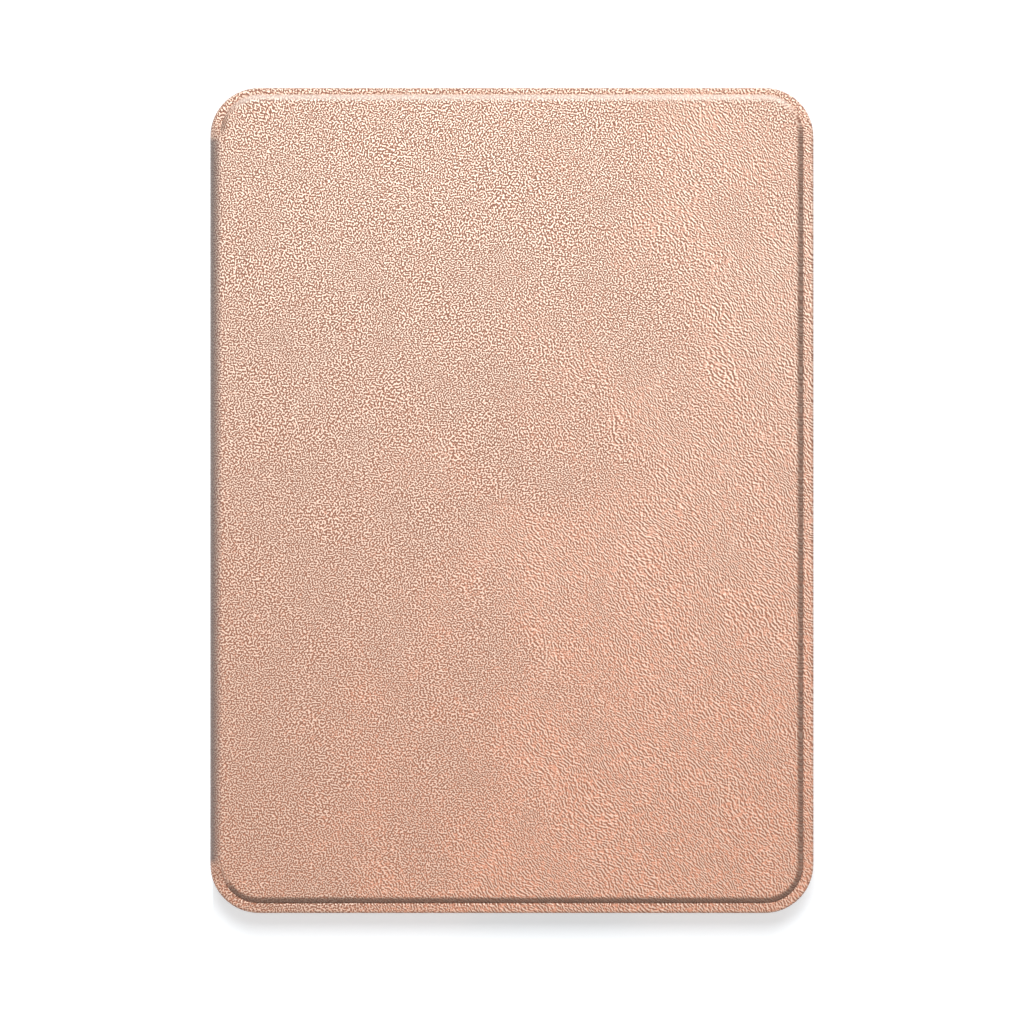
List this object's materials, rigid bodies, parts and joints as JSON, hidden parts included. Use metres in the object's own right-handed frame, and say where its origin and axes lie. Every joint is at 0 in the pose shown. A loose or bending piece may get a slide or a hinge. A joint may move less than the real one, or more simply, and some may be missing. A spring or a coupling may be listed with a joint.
{
  "type": "e-reader in a folio cover",
  "caption": "Slim e-reader held in the tray of a grained leather folio cover, closed, with a raised board panel, rolled spine folds and a charging socket and power button on the bottom edge.",
  "frame": {"origin": "middle of the outline on the back's resting face, z = 0", "axes": "+X from the spine to the free edge, +Y up the page, +Z out of the front cover"},
  "size_m": [0.1306, 0.1784, 0.0127],
  "materials": {
    "rose_leather": "fine grained, rose gold sheen",
    "cover_card": "pressed grey board",
    "lining": "brushed microfibre",
    "tray": "fine satin moulding",
    "magnet": "nickel plated",
    "housing": "soft touch",
    "frame": "die cast magnesium",
    "lens": "etched anti-glare",
    "border": "printed film",
    "clear_film": "clear",
    "paper_screen": "matt electronic paper",
    "foam": "closed-cell foam",
    "flex": "polyimide",
    "board": "solder mask",
    "chip": "moulded epoxy",
    "connector": "moulded nylon",
    "tin": "tin plated",
    "battery": "laminated pouch foil",
    "tape": "double-sided tape",
    "screw": "black zinc",
    "led": "white package",
    "light_pipe": "clear acrylic"
  },
  "bodies": {
    "reader_and_tray": {"rear_fold_leather": "rose_leather", "back_leather": "rose_leather", "latch_magnets": "magnet", "tray_shell": "tray", "rear_housing": "housing", "mid_frame": "frame", "lens_gasket": "foam", "front_border": "border", "front_lens": "lens", "optical_adhesive": "clear_film", "housing_screws": "screw", "touch_panel": "clear_film", "light_guide_plate": "clear_film", "epaper_panel": "paper_screen", "front_light_leds": "led", "light_strip_flex": "flex", "display_driver_chip": "chip", "display_flex": "flex", "touch_flex": "flex", "logic_board": "board", "board_screws": "screw", "processor_chip": "chip", "memory_chip": "chip", "storage_chip": "chip", "power_chip": "chip", "radio_module": "chip", "hall_sensor": "chip", "charge_light_led": "led", "main_shield_can": "tin", "radio_shield_can": "tin", "display_connector": "connector", "touch_connector": "connector", "battery_connector": "connector", "wifi_antenna": "tin", "battery_tape": "tape", "battery_cell": "battery", "battery_flex": "flex", "charging_port_shell": "tin", "charging_port_tongue": "chip", "charging_port_seal": "foam", "button_seal": "foam", "power_switch": "tin", "charge_light_pipe": "light_pipe"},
    "spine": {"spine_leather": "rose_leather", "spine_stiffener": "cover_card", "spine_lining": "lining", "front_fold_leather": "rose_leather"},
    "cover": {"cover_leather": "rose_leather", "cover_board": "cover_card", "cover_lining": "lining", "closure_magnets": "magnet", "sleep_magnet": "magnet"},
    "power_button": {"power_button": "housing", "switch_plunger": "connector"}
  },
  "joints": [
    {"name": "rear_fold", "type": "hinge", "parent": "reader_and_tray", "child": "spine", "pos_m": [-0.06422, 0, 0.00103], "axis": [0, -1, 0], "range_deg": [0, 179], "deforming": ["rear_fold_leather"]},
    {"name": "front_fold", "type": "hinge", "parent": "spine", "child": "cover", "pos_m": [-0.06422, 0, 0.01172], "axis": [0, -1, 0], "range_deg": [0, 179], "deforming": ["front_fold_leather"]},
    {"name": "power_button_press", "type": "slide", "parent": "reader_and_tray", "child": "power_button", "axis": [0, 1, 0], "range_m": [0, 0.0003], "stiffness_N_per_m": 900, "springref_m": -0.0004}
  ]
}
